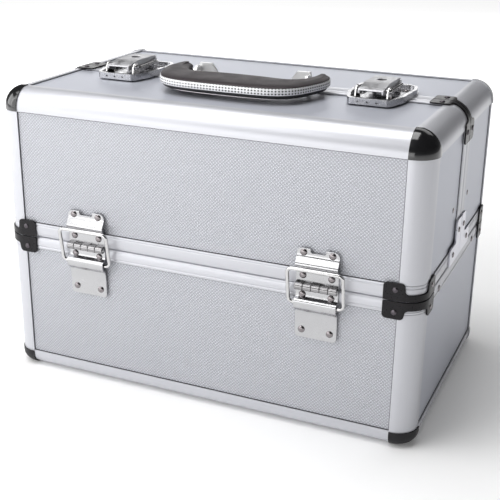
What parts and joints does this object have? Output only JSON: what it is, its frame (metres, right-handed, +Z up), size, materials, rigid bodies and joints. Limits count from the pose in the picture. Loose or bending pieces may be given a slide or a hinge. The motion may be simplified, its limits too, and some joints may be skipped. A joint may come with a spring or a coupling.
{
  "type": "makeup train case",
  "caption": "Rigid box case with aluminium edges, a lid split at the middle that opens both ways on ring hinges, cantilever trays, toggle latches and a fold-down handle",
  "frame": {"origin": "Centre of the footprint, on the surface that the case stands on, under the bounding box's centre.", "axes": "+X is the width, from the left end to the right end; +Z is up; the front, where the handle lies when folded, faces -Y."},
  "size_m": [0.37, 0.2448, 0.264],
  "materials": {
    "carcass_board": "pressed board faced with embossed silver sheet outside and black cloth inside",
    "anodised_extrusion": "satin anodised rounded edge extrusion",
    "gloss_cap": "glossy black moulded corner",
    "matt_cap": "dull black moulded corner",
    "rear_cap": "light grey moulded corner",
    "black_bracket": "black painted steel with bright rivet heads",
    "hinge_chrome": "bright plated steel",
    "latch_chrome": "bright plated steel",
    "lock_chrome": "bright plated",
    "mount_chrome": "bright plated steel",
    "tray_arm": "black painted steel strip",
    "tray": "black lined tray",
    "grip": "dark padded leather with a silver woven edge"
  },
  "bodies": {
    "base": {"base_carcass": "carcass_board", "base_front_left_bracket": "black_bracket", "base_front_left_cap": "matt_cap", "base_front_left_hinge_leaf": "hinge_chrome", "base_front_right_bracket": "black_bracket", "base_front_right_cap": "matt_cap", "base_front_right_hinge_leaf": "hinge_chrome", "base_lower_frame": "anodised_extrusion", "base_rear_left_bracket": "black_bracket", "base_rear_left_cap": "rear_cap", "base_rear_left_hinge_leaf": "hinge_chrome", "base_rear_right_bracket": "black_bracket", "base_rear_right_cap": "rear_cap", "base_rear_right_hinge_leaf": "hinge_chrome", "base_rim": "anodised_extrusion"},
    "front_lid": {"front_lid_carcass": "carcass_board", "front_lid_edge_frame": "anodised_extrusion", "front_lid_left_bracket": "black_bracket", "front_lid_left_cap": "gloss_cap", "front_lid_left_hinge_leaf": "hinge_chrome", "front_lid_left_top_bracket": "black_bracket", "front_lid_mouth_frame": "anodised_extrusion", "front_lid_right_bracket": "black_bracket", "front_lid_right_cap": "gloss_cap", "front_lid_right_hinge_leaf": "hinge_chrome", "front_lid_right_top_bracket": "black_bracket", "left_handle_mount": "mount_chrome", "left_latch_body": "latch_chrome", "right_handle_mount": "mount_chrome", "right_latch_body": "latch_chrome"},
    "rear_lid": {"left_latch_strike": "latch_chrome", "rear_lid_carcass": "carcass_board", "rear_lid_edge_frame": "anodised_extrusion", "rear_lid_left_bracket": "black_bracket", "rear_lid_left_cap": "rear_cap", "rear_lid_left_hinge_leaf": "hinge_chrome", "rear_lid_left_top_bracket": "black_bracket", "rear_lid_mouth_frame": "anodised_extrusion", "rear_lid_right_bracket": "black_bracket", "rear_lid_right_cap": "rear_cap", "rear_lid_right_hinge_leaf": "hinge_chrome", "rear_lid_right_top_bracket": "black_bracket", "right_latch_strike": "latch_chrome"},
    "front_rings": {"front_left_hinge_ring": "hinge_chrome", "front_right_hinge_ring": "hinge_chrome"},
    "rear_rings": {"rear_left_hinge_ring": "hinge_chrome", "rear_right_hinge_ring": "hinge_chrome"},
    "front_arms": {"front_left_tray_arm": "tray_arm", "front_right_tray_arm": "tray_arm"},
    "rear_arms": {"rear_left_tray_arm": "tray_arm", "rear_right_tray_arm": "tray_arm"},
    "front_upper_tray": {"front_upper_tray": "tray"},
    "front_lower_tray": {"front_lower_tray": "tray"},
    "rear_upper_tray": {"rear_upper_tray": "tray"},
    "rear_lower_tray": {"rear_lower_tray": "tray"},
    "left_latch": {"left_latch_lever": "latch_chrome"},
    "right_latch": {"right_latch_lever": "latch_chrome"},
    "left_lock": {"left_latch_lock": "lock_chrome"},
    "right_lock": {"right_latch_lock": "lock_chrome"},
    "handle": {"handle_grip": "grip"}
  },
  "joints": [
    {"name": "front_lid_hinge", "type": "hinge", "parent": "base", "child": "front_lid", "pos_m": [0, -0.117, 0.124], "axis": [1, 0, 0], "range_deg": [0, 95]},
    {"name": "front_ring_swing", "type": "hinge", "parent": "base", "child": "front_rings", "pos_m": [0, -0.1164, 0.11], "axis": [1, 0, 0], "range_deg": [0, 60.9]},
    {"name": "front_arm_swing", "type": "hinge", "parent": "base", "child": "front_arms", "pos_m": [0, -0.061, 0.1175], "axis": [1, 0, 0], "range_deg": [0, 95.1]},
    {"name": "front_upper_tray_swing", "type": "hinge", "parent": "front_lid", "child": "front_upper_tray", "pos_m": [0, -0.065, 0.17], "axis": [1, 0, 0], "range_deg": [-95.1, 0]},
    {"name": "front_lower_tray_swing", "type": "hinge", "parent": "front_lid", "child": "front_lower_tray", "pos_m": [0, -0.091, 0.147], "axis": [1, 0, 0], "range_deg": [-95.1, 0]},
    {"name": "rear_lid_hinge", "type": "hinge", "parent": "base", "child": "rear_lid", "pos_m": [0, 0.117, 0.124], "axis": [-1, 0, 0], "range_deg": [0, 95]},
    {"name": "rear_ring_swing", "type": "hinge", "parent": "base", "child": "rear_rings", "pos_m": [0, 0.1164, 0.11], "axis": [-1, 0, 0], "range_deg": [0, 60.9]},
    {"name": "rear_arm_swing", "type": "hinge", "parent": "base", "child": "rear_arms", "pos_m": [0, 0.061, 0.1175], "axis": [-1, 0, 0], "range_deg": [0, 95.1]},
    {"name": "rear_upper_tray_swing", "type": "hinge", "parent": "rear_lid", "child": "rear_upper_tray", "pos_m": [0, 0.065, 0.17], "axis": [-1, 0, 0], "range_deg": [-95.1, 0]},
    {"name": "rear_lower_tray_swing", "type": "hinge", "parent": "rear_lid", "child": "rear_lower_tray", "pos_m": [0, 0.091, 0.147], "axis": [-1, 0, 0], "range_deg": [-95.1, 0]},
    {"name": "left_latch_lift", "type": "hinge", "parent": "front_lid", "child": "left_latch", "pos_m": [-0.112, -0.03, 0.2595], "axis": [1, 0, 0], "range_deg": [0, 90]},
    {"name": "left_lock_turn", "type": "hinge", "parent": "left_latch", "child": "left_lock", "pos_m": [-0.112, -0.0065, 0.261], "axis": [0, 0, 1], "range_deg": [0, 90]},
    {"name": "right_latch_lift", "type": "hinge", "parent": "front_lid", "child": "right_latch", "pos_m": [0.112, -0.03, 0.2595], "axis": [1, 0, 0], "range_deg": [0, 90]},
    {"name": "right_lock_turn", "type": "hinge", "parent": "right_latch", "child": "right_lock", "pos_m": [0.112, -0.0065, 0.261], "axis": [0, 0, 1], "range_deg": [0, 90]},
    {"name": "handle_fold", "type": "hinge", "parent": "front_lid", "child": "handle", "pos_m": [0, -0.009, 0.257], "axis": [-1, 0, 0], "range_deg": [0, 90]}
  ],
  "couplings": [
    {"joint": "front_ring_swing", "follows": "front_lid_hinge", "ratio": 0.64},
    {"joint": "front_arm_swing", "follows": "front_lid_hinge", "ratio": 1},
    {"joint": "front_upper_tray_swing", "follows": "front_lid_hinge", "ratio": -1},
    {"joint": "front_lower_tray_swing", "follows": "front_lid_hinge", "ratio": -1},
    {"joint": "rear_ring_swing", "follows": "rear_lid_hinge", "ratio": 0.64},
    {"joint": "rear_arm_swing", "follows": "rear_lid_hinge", "ratio": 1},
    {"joint": "rear_upper_tray_swing", "follows": "rear_lid_hinge", "ratio": -1},
    {"joint": "rear_lower_tray_swing", "follows": "rear_lid_hinge", "ratio": -1}
  ]
}
